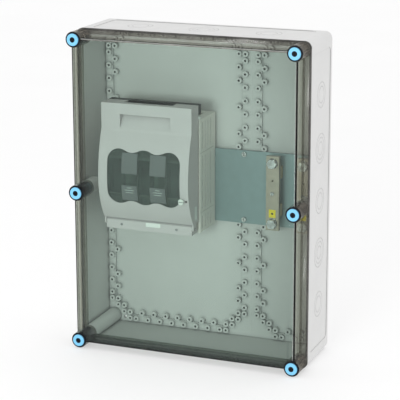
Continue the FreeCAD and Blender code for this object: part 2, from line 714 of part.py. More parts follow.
def make_jaws():
    """Six copper contacts: two parallel jaws on a foot that runs out to the terminal."""
    jaws = []
    for pole in POLES:
        for end in ENDS.values():
            edges = (("-jaw_gap-jaw_thick", "-jaw_gap"), ("+jaw_gap", "+jaw_gap+jaw_thick"))
            leaves = [slab(f"{pole}{low}", f"{pole}{high}", "jaw_back", "jaw_front", end["low"], end["high"])
                      for low, high in edges]
            foot = slab(f"{pole}-jaw_half_wide", f"{pole}+jaw_half_wide", "jaw_foot", "jaw_back",
                        *end["tongue"])
            hole = rod("stud_radius+screw_gap/2", (pole, "jaw_foot-1", end["stud"]), "jaw_back-jaw_foot+2")
            jaws.append(cut(fuse(leaves + [foot]), [hole]))
    return group(jaws)


def make_jaw_springs():
    """Leaf springs that press each pair of jaws together."""
    inner = "(jaw_gap+jaw_thick)"
    springs = []
    for pole in POLES:
        for end in ENDS.values():
            middle = f"({end['low']}+{end['high']})/2"
            for low, high in ((f"-{inner}-leaf_thick", f"-{inner}"), (f"+{inner}", f"+{inner}+leaf_thick")):
                springs.append(slab(f"{pole}{low}", f"{pole}{high}", "spring_back", "spring_back+leaf_long",
                                    f"{middle}-leaf_wide/2", f"{middle}+leaf_wide/2"))
    return group(springs)


def make_terminal_bolts():
    bolts = []
    for pole in POLES:
        for end in ENDS.values():
            head = hexagon((pole, "jaw_back", end["stud"]), "hexagon_tall")
            thread = rod("stud_radius", (pole, "jaw_foot-5", end["stud"]), "jaw_back-jaw_foot+6")
            bolts.append(fuse([head, thread]))
    return group(bolts)


# ---------------------------------------------------------------- switch cover
def arc_radius(across, along):
    """Radius of an arc that leaves its first end at a right angle to the depth."""
    return f"(({along})^2+({across})^2)/(2*({across}))"


BROW_ARC = arc_radius("crown_depth-brow_depth", "brow_z-crown_z")


def front_curve(sink, bottom, beyond):
    """Outline between the cover's front, moved back by sink, and a plane at depth beyond."""
    brow, crown, chin = (f"-({depth}-{sink})" for depth in ("brow_depth", "crown_depth", "chin_depth"))
    corners = [(f"-({beyond})", "cover_top+5"), (brow, "cover_top+5"), (brow, "brow_z"), (crown, "crown_z"),
               (chin, bottom), (f"-({beyond})", bottom)]
    chin_arc = arc_radius("crown_depth-chin_depth", f"crown_z-({bottom})")
    return corners, {2: (BROW_ARC, 1), 3: (chin_arc, 1)}


def cover_section(body, skin, top, bottom, rear):
    """Side profile of the cover; skin moves its front back."""
    sketch = sketch_on(body, "YZ_Plane", f"switch_x-cover_half+{skin}")
    corners, arcs = front_curve(skin, bottom, rear)
    corners[0] = (corners[0][0], top)
    corners[1] = (corners[1][0], top)
    outline(sketch, corners, arcs)
    return sketch


def lobed_outline(sketch, inset):
    """Window outline: big rounded outer corners, and three lobes at the top and bottom."""
    side, half, corner = f"(window_side-{inset})", f"(window_half-{inset})", f"(window_corner-{inset})"
    wave = arc_radius("lobe_rise", "lobe_pitch/4")
    crest, flank = f"(window_mid+{half})", f"(window_mid+{half}-lobe_rise)"
    trough, low_flank = f"(window_mid-{half})", f"(window_mid-{half}+lobe_rise)"
    offsets = ["-3/4", "-1/4", "1/4", "3/4"]
    top = [(f"lobe_x-{side}", f"{crest}-{corner}"), ("lobe_x-lobe_pitch", crest)]
    top += [(f"lobe_x+({offset})*lobe_pitch", flank) for offset in offsets]
    top += [("lobe_x+lobe_pitch", crest), (f"lobe_x+{side}", f"{crest}-{corner}")]
    bottom = [(f"lobe_x+{side}", f"{trough}+{corner}"), ("lobe_x+lobe_pitch", trough)]
    bottom += [(f"lobe_x+({offset})*lobe_pitch", low_flank) for offset in reversed(offsets)]
    bottom += [("lobe_x-lobe_pitch", trough), (f"lobe_x-{side}", f"{trough}+{corner}")]
    corner_reach = f"(((window_side-{inset}-lobe_pitch)^2+({corner})^2)^0.5*0.7072)"
    arcs = {}
    for first in (0, 8):
        arcs[first] = (corner_reach, -1)
        arcs[first + 6] = (corner_reach, -1)
        for step, turn in ((1, -1), (2, 1), (3, -1), (4, 1), (5, -1)):
            arcs[first + step] = (wave, turn)
    outline(sketch, top + bottom, arcs)


def make_cover_shell():
    """Cover of the switch: a bowed hood with a grip recess, a window opening and two hinge ears."""
    body = new_body("cover_body")
    pad(body, cover_section(body, "0", "cover_top", "cover_bottom", "cover_rear"), "2*cover_half")
    hollow = cover_section(body, "skin", "cover_top-skin", "cover_bottom+skin", "cover_rear-1")
    pocket(body, hollow, "2*cover_half-2*skin", forwards=True)

    housing = sketch_on(body, "YZ_Plane", "grip_x-grip_half-skin")
    outline(housing, [
        ("-brow_depth+skin/2", "grip_top+skin"), ("-brow_depth+grip_deep+skin", "grip_top+skin"),
        ("-brow_depth+grip_deep+skin", "grip_top-skin"), ("-brow_depth+skin/2", "grip_foot-2*skin"),
    ])
    pad(body, housing, "2*grip_half+2*skin")
    recess = sketch_on(body, "YZ_Plane", "grip_x-grip_half")
    outline(recess, [
        ("-brow_depth-1", "grip_top"), ("-brow_depth+grip_deep", "grip_top"),
        ("-brow_depth+grip_deep", "grip_top-skin"), ("-brow_depth-1", "grip_foot"),
    ])
    pocket(body, recess, "2*grip_half", forwards=True)

    notch = sketch_on(body, "YZ_Plane", "notch_left")
    rectangle(notch, "-cover_rear-notch_deep", "-cover_rear+1", "cover_top-2*skin", "cover_top+1")
    pocket(body, notch, "notch_wide", forwards=True)

    vents = sketch_on(body, "YZ_Plane", "switch_x-cover_half-1")
    rectangle(vents, "-vent_depth-vent_wide", "-vent_depth", "vent_low", "vent_low+vent_tall")
    pocket(body, vents, "2*cover_half+2", forwards=True)

    window = sketch_on(body, "XZ_Plane", "crown_depth+1")
    lobed_outline(window, "0")
    pocket(body, window, "crown_depth+1-brow_depth+6")

    for start in ("switch_x-cover_half", "switch_x+cover_half-skin"):
        ear = sketch_on(body, "YZ_Plane", start)
        corners = [
            ("-hinge_depth-ear_radius", "hinge_z"), ("-hinge_depth+ear_radius", "hinge_z"),
            ("-hinge_depth+ear_radius", "cover_bottom+1"),
            ("-hinge_depth-ear_radius+1", "cover_bottom+1"),
        ]
        outline(ear, corners, {0: ("ear_bow", 1)})
        pad(body, ear, "skin")
    pivots = sketch_on(body, "YZ_Plane", "switch_x-cover_half-1")
    circle(pivots, "-hinge_depth", "hinge_z", "pin_radius+pin_gap")
    pocket(body, pivots, "2*cover_half+2", forwards=True)

    holes = sketch_on(body, "XZ_Plane", "crown_depth+1")
    circle(holes, "knob_x", "knob_z", "knob_stem+knob_gap/2")
    circle(holes, "seal_hole_x", "knob_z", "seal_hole_radius")
    pocket(body, holes, "10")
    return body


def make_cover_liner():
    """Dark frame in the cover's top: a channel that fills the notch and stands out behind the shell."""
    low, high = "(switch_x-cover_half+liner_gap)", "(switch_x+cover_half-liner_gap)"
    rear, crest = "cover_rear-liner_gap", "cover_top+liner_rise"
    roof = "cover_top-skin-liner_gap"
    return fuse([
        slab(low, high, "liner_back", "liner_back+liner_thick", "liner_low", crest),
        slab(low, high, "liner_back", rear, f"{roof}-liner_thick", crest),
        slab(low, f"{low}+liner_thick", "liner_back", rear, "liner_low", crest),
        slab(f"{high}-liner_thick", high, "liner_back", rear, "liner_low", crest),
        slab(f"{low}+skin", f"{high}-skin", "liner_back", "liner_front", f"{roof}-liner_thick", roof),
    ])


def make_vent_inserts():
    """White strips that close the two side vents of the cover."""
    vent_top = "vent_low+vent_tall-insert_gap"
    sides = (("switch_x-cover_half+insert_gap", "switch_x-cover_half+skin"),
             ("switch_x+cover_half-skin", "switch_x+cover_half-insert_gap"))
    return group([
        slab(low, high, "vent_depth+insert_gap", "vent_depth+vent_wide-insert_gap",
             "vent_low+insert_gap", vent_top)
        for low, high in sides
    ])


def make_skin(name, draw, outer_sink, inner_sink):
    """Curved panel that follows the cover's front between two sinks, inside a drawn outline."""
    body = new_body(name)
    sketch = sketch_on(body, "XZ_Plane", "brow_depth-2")
    draw(sketch)
    pad(body, sketch, "crown_depth-brow_depth+6")
    for sink, beyond in ((outer_sink, "crown_depth+10"), (inner_sink, "brow_depth-8")):
        side = sketch_on(body, "YZ_Plane", "switch_x-cover_half")
        corners, arcs = front_curve(sink, "cover_bottom", beyond)
        outline(side, corners, arcs)
        pocket(body, side, "2*cover_half", forwards=True)
    return body


def make_window():
    return make_skin("window_body", lambda sketch: lobed_outline(sketch, "window_gap"), "window_sink",
                     "(window_sink+window_thick)")


def make_window_plates():
    """Four grey plates that sit on the dark window."""
    plates = []
    for side in ("-", "+"):
        left, right = (f"lobe_x{side}plate_x{edge}plate_wide/2" for edge in ("-", "+"))
        for low, high in (("plate_high_low", "plate_high_top"), ("plate_low_low", "plate_low_top")):
            plates.append(make_skin("plate_body", lambda sketch: rectangle(sketch, left, right, low, high),
                                    "plate_sink", "window_sink"))
    return group(plates)


def make_carriers():
    """Holders behind the window that grip the front of each fuse link."""
    carriers = []
    for pole in POLES:
        pad_plate = slab(f"{pole}-carrier_half", f"{pole}+carrier_half", "fuse_front", "carrier_front",
                         "fuse_low+2", "fuse_top-2")
        posts = [slab(f"{pole}{side}carrier_half*0.6-2", f"{pole}{side}carrier_half*0.6+2", "carrier_front-1",
                      "carrier_post", "carrier_low", "carrier_top") for side in ("-", "+")]
        carriers.append(fuse([pad_plate] + posts))
    return group(carriers)


# ---------------------------------------------------------------- fuse links and knob
def make_fuse_body(pole):
    """Ceramic body with chamfered corners."""
    body = new_body("fuse_body")
    section = sketch_on(body, "XY_Plane", "fuse_low")
    low, high = f"{pole}-fuse_half", f"{pole}+fuse_half"
    outline(section, [
        (f"{low}+fuse_chamfer", "-fuse_front"), (f"{high}-fuse_chamfer", "-fuse_front"),
        (high, "-fuse_front+fuse_chamfer"), (high, "-fuse_back-fuse_chamfer"),
        (f"{high}-fuse_chamfer", "-fuse_back"), (f"{low}+fuse_chamfer", "-fuse_back"),
        (low, "-fuse_back-fuse_chamfer"), (low, "-fuse_front+fuse_chamfer"),
    ])
    pad(body, section, "fuse_top-fuse_low")
    return body


def make_fuse_contacts(pole):
    """End plates with their knife contacts, one at each end of a fuse link."""
    contacts = []
    ends = (("fuse_low-end_plate", "fuse_low", "blade_low", "fuse_low", "blade_low"),
            ("fuse_top", "fuse_top+end_plate", "fuse_top", "blade_top", "blade_top"))
    for plate_low, plate_high, blade_low, blade_high, tip in ends:
        plate = slab(f"{pole}-fuse_half+1", f"{pole}+fuse_half-1", "fuse_back+1", "fuse_front-1",
                     plate_low, plate_high)
        blade = slab(f"{pole}-blade_half", f"{pole}+blade_half", "blade_back", "blade_front",
                     blade_low, blade_high)
        body_room = slab(f"{pole}-fuse_half-1", f"{pole}+fuse_half+1", "fuse_back-10", "fuse_front+1",
                         "fuse_low", "fuse_top")
        back_corner = slab(f"{pole}-fuse_half", f"{pole}+fuse_half", "blade_back-1",
                           "blade_back+blade_chamfer", f"{tip}-blade_chamfer", f"{tip}+blade_chamfer")
        contacts.append(cut(fuse([plate, blade]), [body_room, back_corner]))
    return group(contacts)


def make_knob():
    """Quarter-turn lock of the cover, with a driver slot."""
    head = rod("knob_radius", ("knob_x", "knob_back", "knob_z"), "knob_front-knob_back")
    stem = rod("knob_stem", ("knob_x", "knob_tail", "knob_z"), "knob_back-knob_tail+1")
    slot = slab("knob_x-knob_radius", "knob_x+knob_radius", "knob_front-2", "knob_front+1",
                "knob_z-knob_slot/2", "knob_z+knob_slot/2")
    return cut(fuse([head, stem]), [slot])


# ---------------------------------------------------------------- assembly
subpart("enclosure_base", make_base())
subpart("boss_frame_left", make_frame("left_module", "left_recess_half", -size("width/2-wall-frame_gap"),
                                      size("module_split-split_gap/2"), 4, 100))
subpart("boss_frame_right", make_frame("right_module", "right_recess_half", size("module_split+split_gap/2"),
                                       size("width/2-wall-frame_gap"), 1, 25))
subpart("lid_seal", make_seal())
subpart("lid_hood", make_hood())
for name, (x, z) in LOCKS.items():
    subpart(f"lock_body_{name}", make_lock_body(x, z))
    subpart(f"lock_head_{name}", make_lock_head(x, z))

subpart("mounting_plate", make_plate())
subpart("plate_screws", make_plate_screws())
for name in ("neutral", "earth"):
    x = f"{name}_x"
    subpart(f"{name}_bar", make_bar(x))
    subpart(f"{name}_supports", make_bar_supports(x))
    subpart(f"{name}_bolts", make_bar_bolts(x))
    subpart(f"{name}_washers", make_bar_washers(x))
    subpart(f"{name}_clamp_screw", make_clamp_screw(x))
    subpart(f"{name}_marker", make_marker(x))

subpart("switch_base", make_switch_base())
subpart("switch_mount_screws", make_mount_screws())
subpart("terminal_cover_top", make_terminal_cover("high_seam+seam", "switch_top", "switch_top-skin",
                                                  "switch_top", "front_plate_bottom", "switch_top"))
subpart("terminal_cover_bottom", make_terminal_cover("switch_bottom", "low_seam-seam", "switch_bottom",
                                                     "switch_bottom+skin", "switch_bottom", "low_plate_top"))
subpart("terminal_cover_screws", make_cover_screws())
subpart("hinge_block", make_hinge_block())
subpart("hinge_pins", make_hinge_pins())
subpart("hinge_block_screws", make_block_screws())
subpart("marking_strip", make_marking_strip())
subpart("contact_jaws", make_jaws())
subpart("jaw_springs", make_jaw_springs())
subpart("terminal_bolts", make_terminal_bolts())

subpart("switch_cover", make_cover_shell())
subpart("cover_liner", make_cover_liner())
subpart("vent_inserts", make_vent_inserts())
subpart("cover_window", make_window())
subpart("window_plates", make_window_plates())
subpart("fuse_carriers", make_carriers())
for number, pole in enumerate(POLES, start=1):
    subpart(f"fuse_{number}_body", make_fuse_body(pole))
    subpart(f"fuse_{number}_contacts", make_fuse_contacts(pole))
subpart("cover_lock_knob", make_knob())

# ---------------------------------------------------------------- checks and export
doc.recompute()
for item in doc.Objects:
    if "Invalid" in item.State or "Error" in item.State:
        raise RuntimeError(f"{item.Name} ({item.Label}) failed: {item.State}")
for piece in SUBPARTS:
    if piece.Shape.isNull() or not piece.Shape.isValid():
        raise RuntimeError(f"{piece.Label} has no valid shape")
    piece.Shape.exportStep(f"parts/{piece.Label}.step")
print(len(SUBPARTS), "sub-parts written")
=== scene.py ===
"""Fuse box panel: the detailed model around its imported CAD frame.

Most pieces are copies of a CAD node with clean faces, rounded edges and added relief, and they
stand in that node's place. Units are metres: +X is to the right, +Z is up and the front looks
along -Y, so a depth d is the plane Y = -d.
"""
import json
import math

import bmesh
import bpy
from mathutils import Matrix, Vector


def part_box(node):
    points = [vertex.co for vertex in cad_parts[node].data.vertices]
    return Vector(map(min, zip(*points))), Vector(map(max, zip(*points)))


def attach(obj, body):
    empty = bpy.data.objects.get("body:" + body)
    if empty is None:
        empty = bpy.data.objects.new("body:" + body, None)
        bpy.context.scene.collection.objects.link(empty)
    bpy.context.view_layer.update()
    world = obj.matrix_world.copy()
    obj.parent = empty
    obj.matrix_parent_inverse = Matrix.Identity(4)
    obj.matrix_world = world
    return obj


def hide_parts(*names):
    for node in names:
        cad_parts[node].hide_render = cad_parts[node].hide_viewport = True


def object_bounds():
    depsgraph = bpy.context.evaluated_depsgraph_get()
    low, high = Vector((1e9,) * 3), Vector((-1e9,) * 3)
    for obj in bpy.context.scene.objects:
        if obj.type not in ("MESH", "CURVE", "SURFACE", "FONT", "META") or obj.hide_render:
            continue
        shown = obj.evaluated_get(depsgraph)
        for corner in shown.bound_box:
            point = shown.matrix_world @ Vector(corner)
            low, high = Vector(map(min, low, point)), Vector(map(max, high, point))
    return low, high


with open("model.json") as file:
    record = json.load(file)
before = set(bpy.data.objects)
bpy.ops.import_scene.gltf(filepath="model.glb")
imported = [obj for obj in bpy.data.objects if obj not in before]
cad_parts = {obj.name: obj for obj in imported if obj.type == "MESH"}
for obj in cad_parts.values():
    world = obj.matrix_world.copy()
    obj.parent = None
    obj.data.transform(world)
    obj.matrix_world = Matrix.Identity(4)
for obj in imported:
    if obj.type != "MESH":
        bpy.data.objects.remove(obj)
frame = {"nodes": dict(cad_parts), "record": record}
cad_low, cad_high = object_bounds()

MM = 0.001
NODES = frame["nodes"]
RECORD = frame["record"]
BODY_OF = {node: body for body, members in RECORD["behaviour"]["bodies"].items() for node in members}
SLOT_OF = {part["node"]: part["material_slot"] for part in RECORD["subparts"]}
BARS = ("neutral", "earth")
LOCKS = ("top_left", "top_right", "mid_left", "mid_right", "bottom_left", "bottom_right")

# Places on the CAD model, in millimetres.
BOX_HALF_WIDE, BOX_HALF_HIGH = 225, 300
HOOD_HALF_WIDE, HOOD_HALF_HIGH = 214.5, 288.5
HOOD_FRONT, HOOD_WALL, HOOD_ROUNDING = 170, 3, 4
FLANGE_FRONT, FLANGE_ROOM = 128, 0.5
COLUMN_X, COLUMN_ROWS, COLUMN_RADIUS = 210, (-285, 0, 285), 15
BARREL_SHOWS_BELOW = 200
SWITCH_SIDES = (-179.5, 4.5)
CLOSE = 0.1


# ---------------------------------------------------------------- material nodes
class Graph:
    """Short spellings for the nodes of one material."""

    def __init__(self, name):
        self.material = bpy.data.materials.new(name)
        self.material.use_nodes = True
        self.tree = self.material.node_tree
        self.tree.nodes.clear()
        self.place = self.node("TexCoord").outputs["Object"]

    def node(self, kind, inputs=None, **settings):
        made = self.tree.nodes.new("ShaderNode" + kind)
        for key, value in settings.items():
            setattr(made, key, value)
        for key, value in (inputs or {}).items():
            if isinstance(value, bpy.types.NodeSocket):
                self.tree.links.new(value, made.inputs[key])
            else:
                made.inputs[key].default_value = value
        return made

    def noise(self, size, detail=3.0, stretch=(1, 1, 1)):
        """Noise whose features are about size metres across."""
        scaled = self.node("Mapping", {"Vector": self.place, "Scale": stretch})
        return self.node("TexNoise", {"Vector": scaled.outputs[0], "Scale": 1 / size,
                                      "Detail": detail, "Roughness": 0.55}).outputs["Fac"]

    def cells(self, size):
        """A plain random colour in each cell of about size metres."""
        return self.node("TexVoronoi", {"Vector": self.place, "Scale": 1 / size}).outputs["Color"]

    def span(self, value, low, high, start=0.3, end=0.7):
        """low until the value reaches start, high from end on, and a ramp between them."""
        return self.node("MapRange", {"Value": value, "From Min": start, "From Max": end,
                                      "To Min": low, "To Max": high}).outputs[0]

    def math(self, operation, first, second=0.0):
        return self.node("Math", {0: first, 1: second}, operation=operation).outputs[0]

    def mix(self, share, first, second):
        colours = [(*c, 1) if isinstance(c, tuple) else c for c in (first, second)]
        made = self.node("Mix", {0: share, 6: colours[0], 7: colours[1]}, data_type="RGBA")
        return made.outputs[2]

    def bump(self, height, depth):
        return self.node("Bump", {"Height": height, "Distance": depth, "Strength": 1.0}).outputs[0]

    def rims(self, radius):
        """1 on convex and concave edges, 0 on open faces."""
        rounded = self.node("Bevel", {"Radius": radius}, samples=4).outputs[0]
        flat = self.node("NewGeometry").outputs["Normal"]
        likeness = self.node("VectorMath", {0: rounded, 1: flat}, operation="DOT_PRODUCT")
        return self.span(likeness.outputs["Value"], 1.0, 0.0, 0.72, 0.99)

    def crevices(self, reach):
        """1 in the open, falling to 0 in corners and slots narrower than reach."""
        return self.node("AmbientOcclusion", {"Distance": reach}, samples=6).outputs["AO"]

    def facing(self, power):
        """0 where a surface is met head on and 1 along it."""
        across = self.node("LayerWeight", {"Blend": 0.5}).outputs["Facing"]
        return self.math("POWER", across, power)

    def surface(self, shader):
        output = self.node("OutputMaterial")
        self.tree.links.new(shader.outputs[0], output.inputs["Surface"])
        return self.material


def shade(colour, factor):
    """The colour made lighter or darker."""
    return tuple(min(channel * factor, 1) for channel in colour)


def plastic(name, colour, rough=0.5, drift=0.05, grain=0.8 * MM, grain_depth=0.02 * MM, edge=1.12,
            coat=0.0, crevice=0.55, gloss=0.4, fade=None):
    """Moulded plastic: slow colour drift, fine grain, a painted highlight on its edges and painted shade
    in its corners.

    A fade paints shade across the surface: it is the x where the colour starts to deepen and the x
    where that ends, both in millimetres, and the last factor.
    """
    g = Graph(name)
    cloud = g.noise(60 * MM, 4)
    fine = g.noise(grain, 2)
    body = g.mix(g.span(cloud, 0, 1), shade(colour, 1 - drift), shade(colour, 1 + drift))
    speck = g.mix(g.span(fine, 0, 1), shade(colour, 1 - drift), shade(colour, 1 + drift))
    body = g.mix(0.35, body, speck)
    # Painted highlight: the edges take the colour times the edge factor.
    body = g.mix(g.math("MULTIPLY", g.rims(0.8 * MM), 0.6), body, shade(colour, edge))
    # Painted shade: the colour deepens along x by the fade.
    if fade:
        start, end, factor = fade
        across = g.node("SeparateXYZ", {"Vector": g.place}).outputs["X"]
        body = g.mix(g.span(across, 0, 1, start * MM, end * MM), body, shade(colour, factor))
    # Painted shade: corners and narrow slots take the colour times the crevice factor.
    if crevice < 1:
        body = g.mix(g.span(g.crevices(7 * MM), 0, 1, 0.25, 0.95), shade(colour, crevice), body)
    return g.surface(g.node("BsdfPrincipled", {
        "Base Color": body, "Roughness": g.span(g.noise(9 * MM, 3), rough - 0.07, rough + 0.07),
        "Normal": g.bump(fine, grain_depth), "Specular IOR Level": gloss, "Coat Weight": coat,
        "Coat Roughness": 0.15,
    }))


def metal(name, colour, rough=0.3, stretch=(1, 1, 1), spangle=0.0, stain=0.8, metallic=1.0,
          patch_size=14 * MM, crevice=1.0):
    """Plated metal: brushed along one axis or spangled, with duller patches and painted shade in its
    corners.
    """
    g = Graph(name)
    brush = g.noise(0.5 * MM, 3, stretch)
    patch = g.noise(patch_size, 4)
    tone = g.mix(g.span(patch, 0, 1), shade(colour, stain), colour)
    if spangle:
        grey = g.node("RGBToBW", {"Color": g.cells(11 * MM)}).outputs[0]
        tone = g.mix(g.math("MULTIPLY", g.span(grey, 0, 1, 0.2, 0.8), spangle), tone, shade(colour, 1.35))
    # Painted shade: corners take the colour times the crevice factor.
    if crevice < 1:
        tone = g.mix(g.span(g.crevices(5 * MM), 0, 1, 0.35, 0.95), shade(colour, crevice), tone)
    return g.surface(g.node("BsdfPrincipled", {
        "Base Color": tone, "Metallic": metallic, "Roughness": g.span(brush, rough - 0.08, rough + 0.12),
        "Normal": g.bump(brush, 0.012 * MM),
    }))


def clear(name, head_on, grazing, haze, haze_share, mirror, painted_streaks=0.0, fades=(), cloud_size=35 * MM):
    """Clear plastic that doesn't bend light: tint by angle, gloss, painted reflection streaking, and a
    trace of haze and dust.

    A fade, a painted band of shade where its last tint is darker and of light where it is lighter, is an
    axis, the places along it, in millimetres, where the tint starts to change and where that ends, and the
    last tint.
    """
    rough = 0.06
    g = Graph(name)
    tint = g.mix(g.facing(2.0), head_on, grazing)
    # Painted light and shade: bands of darker and lighter tint along the walls.
    for axis, start, end, last in fades:
        along = g.node("SeparateXYZ", {"Vector": g.place}).outputs[axis]
        tint = g.mix(g.span(along, 0, 1, start * MM, end * MM), tint, last)
    # Painted reflection: darker streak lines along Y, as on a shiny tube.
    if painted_streaks:
        lines = g.span(g.noise(3.2 * MM, 2, (1, 0.04, 1)), 0, 1, 0.4, 0.62)
        tint = g.mix(g.math("MULTIPLY", lines, painted_streaks), tint, shade(grazing, 0.25))
    through = g.node("BsdfTransparent", {"Color": tint})
    cloud = g.noise(cloud_size, 4)
    wave = g.noise(45 * MM, 2)
    film = g.node("BsdfDiffuse", {"Color": g.mix(cloud, shade(haze, 0.9), shade(haze, 1.1))})
    dust = g.math("MULTIPLY", g.span(g.noise(3 * MM, 5), 0.85, 1.15), haze_share)
    dust = g.math("MULTIPLY", g.span(cloud, 0.6, 1.4), dust)
    body = g.node("MixShader", {0: dust, 1: through.outputs[0], 2: film.outputs[0]})
    gloss = g.node("BsdfGlossy", {"Color": (1, 1, 1, 1), "Roughness": g.span(cloud, rough, rough + 0.05),
                                  "Normal": g.bump(wave, 0.15 * MM)})
    sheen = g.node("Math", {0: g.facing(5.0), 1: 0.9, 2: 0.04}, operation="MULTIPLY_ADD").outputs[0]
    share = g.math("MULTIPLY", sheen, mirror)
    return g.surface(g.node("MixShader", {0: share, 1: body.outputs[0], 2: gloss.outputs[0]}))


# The finishes of the record's material slots.
MATERIAL = {
    "enclosure_grey": plastic("enclosure_grey", (0.70, 0.70, 0.695), 0.5, 0.03, edge=1.1, crevice=0.6),
    "seal": plastic("seal", (0.035, 0.037, 0.036), 0.8, 0.3, 1.2 * MM, 0.1 * MM, crevice=1),
    "lock_black": plastic("lock_black", (0.006, 0.007, 0.010), 0.6, 0.3, edge=1.5, crevice=1, gloss=0.15),
    "lock_blue": plastic("lock_blue", (0.17, 0.48, 0.72), 0.4, 0.05, edge=1.35, coat=0.1, crevice=0.5,
                         gloss=0.3),
    "galvanised": metal("galvanised", (0.245, 0.33, 0.34), 0.5, spangle=0.12, stain=0.93, metallic=0.45),
    "zinc": metal("zinc", (0.78, 0.80, 0.79), 0.16, stain=0.4, patch_size=7 * MM, crevice=0.25),
    "bar": metal("bar", (0.42, 0.38, 0.31), 0.45, (1, 1, 0.05), metallic=0.5),
    "insulator": plastic("insulator", (0.62, 0.52, 0.33), 0.5, 0.06),
    "marker_yellow": plastic("marker_yellow", (0.82, 0.66, 0.02), 0.4, 0.05, edge=1.05, crevice=1),
    "marker_white": plastic("marker_white", (0.92, 0.93, 0.91), 0.35, 0.03, edge=1.02, crevice=1),
    "label_grey": plastic("label_grey", (0.55, 0.60, 0.58), 0.4, 0.04, crevice=1),
    "switch_grey": plastic("switch_grey", (0.63, 0.595, 0.605), 0.42, 0.03, 0.7 * MM, 0.025 * MM, 1.12,
                           crevice=0.7),
    "silvered_copper": metal("silvered_copper", (0.72, 0.66, 0.58), 0.3, (1, 1, 0.1)),
    "spring_steel": metal("spring_steel", (0.42, 0.42, 0.43), 0.25, (1, 1, 0.1)),
    "window_plate": plastic("window_plate", (0.15, 0.17, 0.17), 0.4, 0.08, edge=1.2),
    "carrier_black": plastic("carrier_black", (0.02, 0.024, 0.023), 0.5, 0.15, edge=1.6, gloss=0.2),
    "fuse_ceramic": plastic("fuse_ceramic", (0.72, 0.70, 0.64), 0.6, 0.05, 0.5 * MM, 0.03 * MM, 1.05),
    "knob": plastic("knob", (0.88, 0.90, 0.87), 0.3, 0.04, edge=1.1, coat=0.3, crevice=0.3),
}
# Painted shade: the tray's back darkens towards the right and in its corners, and the boss frames take its
# painted edge highlights and corner shade.
TRAY_FLOOR = plastic("tray_floor", (0.69, 0.69, 0.685), 0.6, 0.03, edge=1.1, crevice=0.5,
                     gloss=0.15, fade=(20, 180, 0.70))
# A darker copy of the enclosure grey: painted shade on the inner face of the bottom wall.
PAINTED_SHADE_TRAY_WALL = plastic("tray_wall_painted_shade", (0.56, 0.56, 0.555), 0.55, 0.03, edge=1.1, crevice=0.6)
# A lighter copy of the switch grey: painted light on the switch base and the terminal covers, with painted
# shade in their corners.
SWITCH_SIDE = plastic("switch_grey_painted_light", (0.92, 0.89, 0.84), 0.45, 0.03, edge=1.1, crevice=0.3)
# The clear lid's finishes, which lid_part gives to its faces. Its walls take lighter and darker copies of
# one clear plastic, painted light and shade; the fades paint darker and lighter bands near the flange and
# the front, and the column finish paints reflection streaking on the lock columns.
LID = {
    "face": clear("lid_face", (0.83, 0.877, 0.853), (0.45, 0.50, 0.46), (0.62, 0.67, 0.68), 0.010,
                  mirror=0.3, cloud_size=190 * MM),
    "side": clear("lid_side", (0.80, 0.81, 0.76), (0.62, 0.62, 0.56), (0.50, 0.50, 0.45), 0.10,
                  mirror=0.4, fades=[("Y", -134, -130, (0.22, 0.21, 0.18))]),
    "left_side": clear("lid_left_side", (0.74, 0.715, 0.68), (0.72, 0.695, 0.65), (0.50, 0.49, 0.45), 0.06,
                       mirror=0.1, fades=[("Y", -133, -129.5, (0.6, 0.6, 0.55)),
                                          ("Y", -158, -162, (0.45, 0.45, 0.41))]),
    "top": clear("lid_top", (0.60, 0.59, 0.56), (0.50, 0.49, 0.46), (0.40, 0.40, 0.37), 0.16,
                 mirror=0.3, painted_streaks=0.1, fades=[("Y", -148, -142, (0.97, 0.96, 0.93))]),
    "bottom": clear("lid_bottom", (0.50, 0.55, 0.52), (0.40, 0.45, 0.42), (0.08, 0.10, 0.09), 0.10,
                    mirror=0.2, fades=[("Y", -135, -155, (0.46, 0.51, 0.48)),
                                       ("Y", -157, -159, (0.08, 0.09, 0.085))]),
    # Painted highlight and painted dark lines on the rounding round the hood's front.
    "edge_painted_dark": clear("lid_edge_dark", (0.05, 0.05, 0.045), (0.03, 0.03, 0.025), (0.01, 0.01, 0.01), 0.7,
                       mirror=0.1),
    "edge_painted_highlight": clear("lid_edge_light", (0.70, 0.72, 0.70), (0.6, 0.6, 0.58), (0.55, 0.56, 0.54), 0.3,
                        mirror=0.3),
    "edge_painted_brown": clear("lid_edge_brown", (0.30, 0.28, 0.25), (0.2, 0.19, 0.17), (0.22, 0.20, 0.18), 0.45,
                        mirror=0.2),
    "flange": clear("lid_flange", (0.92, 0.92, 0.90), (0.86, 0.86, 0.83), (0.38, 0.37, 0.35), 0.16,
                    mirror=0.15, fades=[("X", 211, 214, (0.68, 0.68, 0.64)),
                                        ("Z", 289, 290.5, (0.54, 0.53, 0.50))]),
    "column": clear("lid_column", (0.92, 0.89, 0.82), (0.42, 0.38, 0.32), (0.40, 0.37, 0.31), 0.14,
                    mirror=0.8, painted_streaks=0.7, fades=[("Y", -133, -129.5, (0.2, 0.19, 0.17))]),
    "barrel": clear("lid_barrel", (0.90, 0.90, 0.87), (0.5, 0.51, 0.48), (0.06, 0.065, 0.06), 0.05,
                    mirror=0.3, fades=[("Y", -131, -134, (0.55, 0.57, 0.55))]),
    "inner": clear("lid_inner", (0.97, 0.98, 0.97), (0.5, 0.51, 0.48), (0.3, 0.3, 0.28), 0.004,
                   mirror=0.15),
}
MATERIAL["window_dark"] = clear("window_dark", (0.72, 0.80, 0.78), (0.45, 0.53, 0.51),
                                (0.10, 0.14, 0.125), 0.32, mirror=0.6)


# ---------------------------------------------------------------- geometry helpers
def link(name, mesh, body):
    """Makes a piece of a mesh, on a body."""
    piece = bpy.data.objects.new(name, mesh)
    bpy.context.scene.collection.objects.link(piece)
    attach(piece, body)
    return piece


